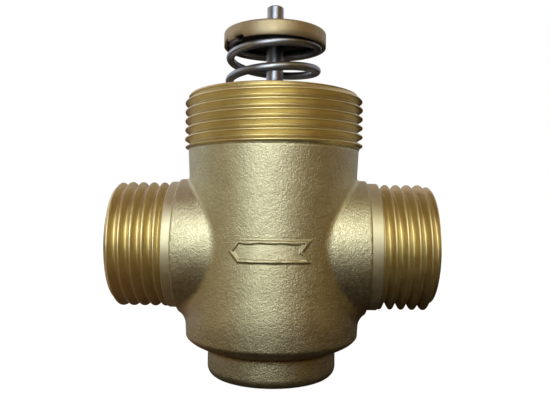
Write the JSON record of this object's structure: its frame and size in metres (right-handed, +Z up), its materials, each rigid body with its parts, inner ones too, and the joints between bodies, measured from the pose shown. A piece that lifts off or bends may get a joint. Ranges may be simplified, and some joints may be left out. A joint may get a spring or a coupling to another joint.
{
  "type": "three way valve",
  "caption": "Small three way zone valve: threaded actuator collar, sprung push stem, male side ports in line and a female port underneath.",
  "frame": {"origin": "centre of the bottom boss's underside, which the valve stands on", "axes": "+Z up along the stem, X along the two side ports, -Y towards the side with the flow arrow, which points to -X"},
  "size_m": [0.0522, 0.03, 0.0622],
  "materials": {
    "forged_brass": "blasted hot-stamped brass, matt and finely dimpled, threads bright turned",
    "machined_brass": "turned brass, fine lathe lines",
    "spring_steel": "dark drawn spring wire, slightly oiled",
    "stainless_steel": "bright ground bar",
    "seal_rubber": "moulded black rubber, matt",
    "seal_plastic": "turned white fluoropolymer"
  },
  "bodies": {
    "body": {"valve_body": "forged_brass", "lower_seat_ring": "machined_brass", "lower_seat_gasket": "seal_plastic", "bonnet": "machined_brass", "bonnet_o_ring": "seal_rubber", "guide_bush": "seal_plastic", "lower_stem_o_ring": "seal_rubber", "packing_spacer": "seal_plastic", "upper_stem_o_ring": "seal_rubber", "packing_washer": "machined_brass", "gland_nut": "machined_brass", "stem_wiper": "seal_rubber", "spring_seat_washer": "stainless_steel", "return_spring": "spring_steel"},
    "stem": {"stem": "stainless_steel", "spring_cap": "machined_brass", "cap_circlip": "spring_steel", "upper_seal_washer": "stainless_steel", "upper_seal": "seal_rubber", "plug": "machined_brass", "lower_seal": "seal_rubber", "lower_seal_washer": "stainless_steel", "plug_lock_nut": "stainless_steel"}
  },
  "joints": [
    {"name": "stem_lift", "type": "slide", "parent": "body", "child": "stem", "axis": [0, 0, -1], "range_m": [0, 0.0025], "stiffness_N_per_m": 3300, "springref_m": -0.006, "deforming": ["return_spring"]}
  ]
}
